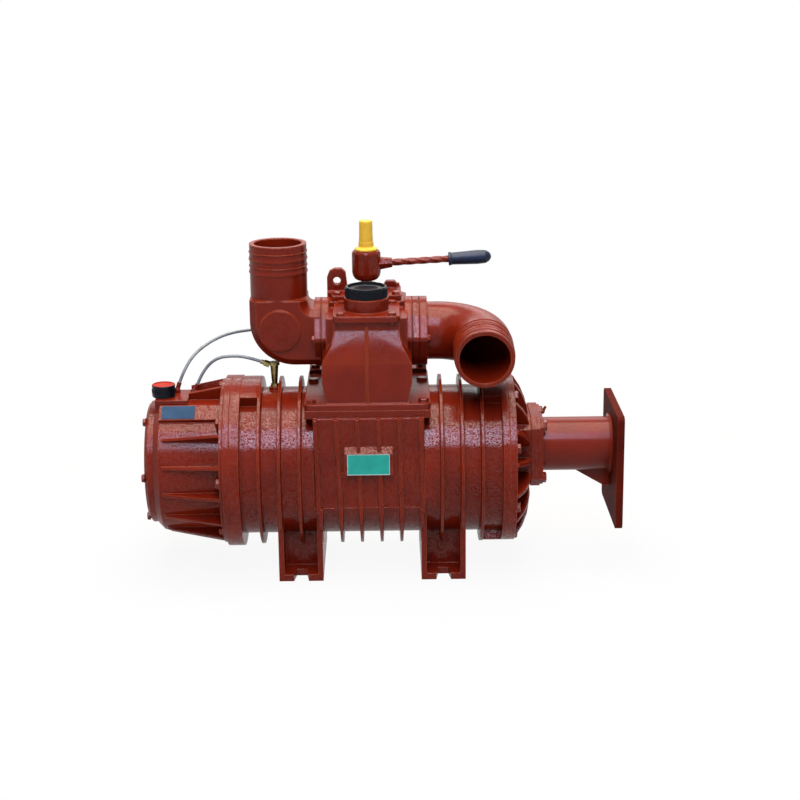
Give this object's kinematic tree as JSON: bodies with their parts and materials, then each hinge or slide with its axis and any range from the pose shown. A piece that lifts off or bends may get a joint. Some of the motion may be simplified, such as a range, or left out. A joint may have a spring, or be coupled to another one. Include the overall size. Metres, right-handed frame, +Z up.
{
  "type": "rotary vane vacuum pump",
  "caption": "Finned sliding-vane vacuum pump on saddle feet, with changeover valve and lever, two hose elbows, oil housing and a square-plated drive adapter.",
  "frame": {"origin": "on the plane under the feet, below the casing axis, midway between the two feet", "axes": "+X along the pump axis towards the drive adapter, +Y away from the name plate side, +Z up"},
  "size_m": [0.8352, 0.304, 0.6065],
  "materials": {
    "oxide_red_casting": "gloss enamel over rough casting",
    "painted_bolts": "enamelled with the pump",
    "bare_iron": "machined",
    "steel": "ground",
    "pump_case_metal": "as cast",
    "vane_composite": "pressed fibre laminate",
    "seal_rubber": "smooth",
    "gasket_sheet": "pressed fibre sheet",
    "ball_rubber": "rubber-covered",
    "valve_brass": "turned",
    "fitting_brass": "dull",
    "black_plastic": "fine satin",
    "yellow_plastic": "satin",
    "teal_plate": "printed plate with no lettering",
    "blue_plate": "printed plate with no lettering",
    "line_nylon": "translucent nylon"
  },
  "bodies": {
    "pump": {"pump_casing": "oxide_red_casting", "rear_bearing_plate": "oxide_red_casting", "rear_oil_housing": "oxide_red_casting", "rear_end_plate": "oxide_red_casting", "drive_end_cover": "oxide_red_casting", "bearing_housing": "oxide_red_casting", "drive_adapter": "oxide_red_casting", "motor_plate": "oxide_red_casting", "manifold_body": "oxide_red_casting", "port_spacer": "oxide_red_casting", "left_elbow": "oxide_red_casting", "right_elbow": "oxide_red_casting", "access_plate": "oxide_red_casting", "valve_cover": "oxide_red_casting", "oil_end_bolts": "painted_bolts", "drive_end_bolts": "painted_bolts", "manifold_bolts": "painted_bolts", "port_bolts": "painted_bolts", "top_bolts": "painted_bolts", "rear_bearing_outer": "steel", "drive_bearing_outer": "steel", "oil_pump_cover": "steel", "grease_nipple": "steel", "oil_pump_case": "pump_case_metal", "rear_shaft_seal": "seal_rubber", "drive_shaft_seals": "seal_rubber", "stem_seal": "seal_rubber", "port_gaskets": "gasket_sheet", "check_seat": "valve_brass", "check_stop": "valve_brass", "oil_line_fittings": "fitting_brass", "name_plate": "teal_plate", "info_plate": "blue_plate", "long_oil_line": "line_nylon", "short_oil_line": "line_nylon"},
    "rotor": {"rotor": "bare_iron", "rotor_shaft": "steel", "rear_bearing_inner_race": "steel", "drive_bearing_inner_race": "steel", "oil_pump_drive_gear": "steel", "motor_coupling": "bare_iron"},
    "vane_1": {"vane_1": "vane_composite"},
    "vane_2": {"vane_2": "vane_composite"},
    "vane_3": {"vane_3": "vane_composite"},
    "vane_4": {"vane_4": "vane_composite"},
    "vane_5": {"vane_5": "vane_composite"},
    "vane_6": {"vane_6": "vane_composite"},
    "oil_pump_idler": {"oil_pump_idler_gear": "steel"},
    "check_ball": {"check_ball": "ball_rubber"},
    "access_seal": {"access_seal": "seal_rubber"},
    "access_cap": {"access_cap": "black_plastic"},
    "filler_seal": {"filler_seal": "seal_rubber"},
    "filler_cap": {"filler_cap": "black_plastic"},
    "changeover": {"changeover_plug": "bare_iron", "lever_head": "oxide_red_casting", "lever_bar": "oxide_red_casting", "lever_grip": "black_plastic"},
    "lever_cap": {"lever_cap": "yellow_plastic"}
  },
  "joints": [
    {"name": "rotor_spin", "type": "hinge", "parent": "pump", "child": "rotor", "pos_m": [0, 0, 0.213], "axis": [1, 0, 0], "continuous": true},
    {"name": "vane_1_slide", "type": "slide", "parent": "rotor", "child": "vane_1", "axis": [0, -0.5, 0.866], "range_m": [0, 0.0017]},
    {"name": "vane_2_slide", "type": "slide", "parent": "rotor", "child": "vane_2", "axis": [0, -1, 0], "range_m": [0, 0.0017]},
    {"name": "vane_3_slide", "type": "slide", "parent": "rotor", "child": "vane_3", "axis": [0, -0.5, -0.866], "range_m": [0, 0.0017]},
    {"name": "vane_4_slide", "type": "slide", "parent": "rotor", "child": "vane_4", "axis": [0, 0.5, -0.866], "range_m": [0, 0.0017]},
    {"name": "vane_5_slide", "type": "slide", "parent": "rotor", "child": "vane_5", "axis": [0, 1, 0], "range_m": [0, 0.0017]},
    {"name": "vane_6_slide", "type": "slide", "parent": "rotor", "child": "vane_6", "axis": [0, 0.5, 0.866], "range_m": [0, 0.0017]},
    {"name": "oil_pump_idler_spin", "type": "hinge", "parent": "pump", "child": "oil_pump_idler", "pos_m": [-0.309, 0, 0.177], "axis": [1, 0, 0], "continuous": true},
    {"name": "check_ball_lift", "type": "slide", "parent": "pump", "child": "check_ball", "axis": [0, 0, 1], "range_m": [0, 0.0464]},
    {"name": "access_cap_lift", "type": "slide", "parent": "pump", "child": "access_seal", "axis": [0, 0, 1], "range_m": [0, 0.006]},
    {"name": "access_cap_turn", "type": "hinge", "parent": "access_seal", "child": "access_cap", "pos_m": [-0.0045, -0.035, 0.507], "axis": [0, 0, 1], "range_deg": [0, 540]},
    {"name": "filler_cap_lift", "type": "slide", "parent": "pump", "child": "filler_seal", "axis": [0, 0, 1], "range_m": [0, 0.006]},
    {"name": "filler_cap_turn", "type": "hinge", "parent": "filler_seal", "child": "filler_cap", "pos_m": [-0.362, -0.02, 0.32], "axis": [0, 0, 1], "range_deg": [0, 720]},
    {"name": "changeover_turn", "type": "hinge", "parent": "pump", "child": "changeover", "pos_m": [-0.0045, 0.072, 0.48], "axis": [0, 0, 1], "range_deg": [-90, 0]},
    {"name": "lever_cap_pull", "type": "slide", "parent": "changeover", "child": "lever_cap", "axis": [0, 0, 1], "range_m": [0, 0.012]}
  ],
  "couplings": [
    {"joint": "oil_pump_idler_spin", "follows": "rotor_spin", "ratio": -1},
    {"joint": "access_cap_lift", "follows": "access_cap_turn", "m_per_rad": 0.00063662},
    {"joint": "filler_cap_lift", "follows": "filler_cap_turn", "m_per_rad": 0.00047746}
  ]
}
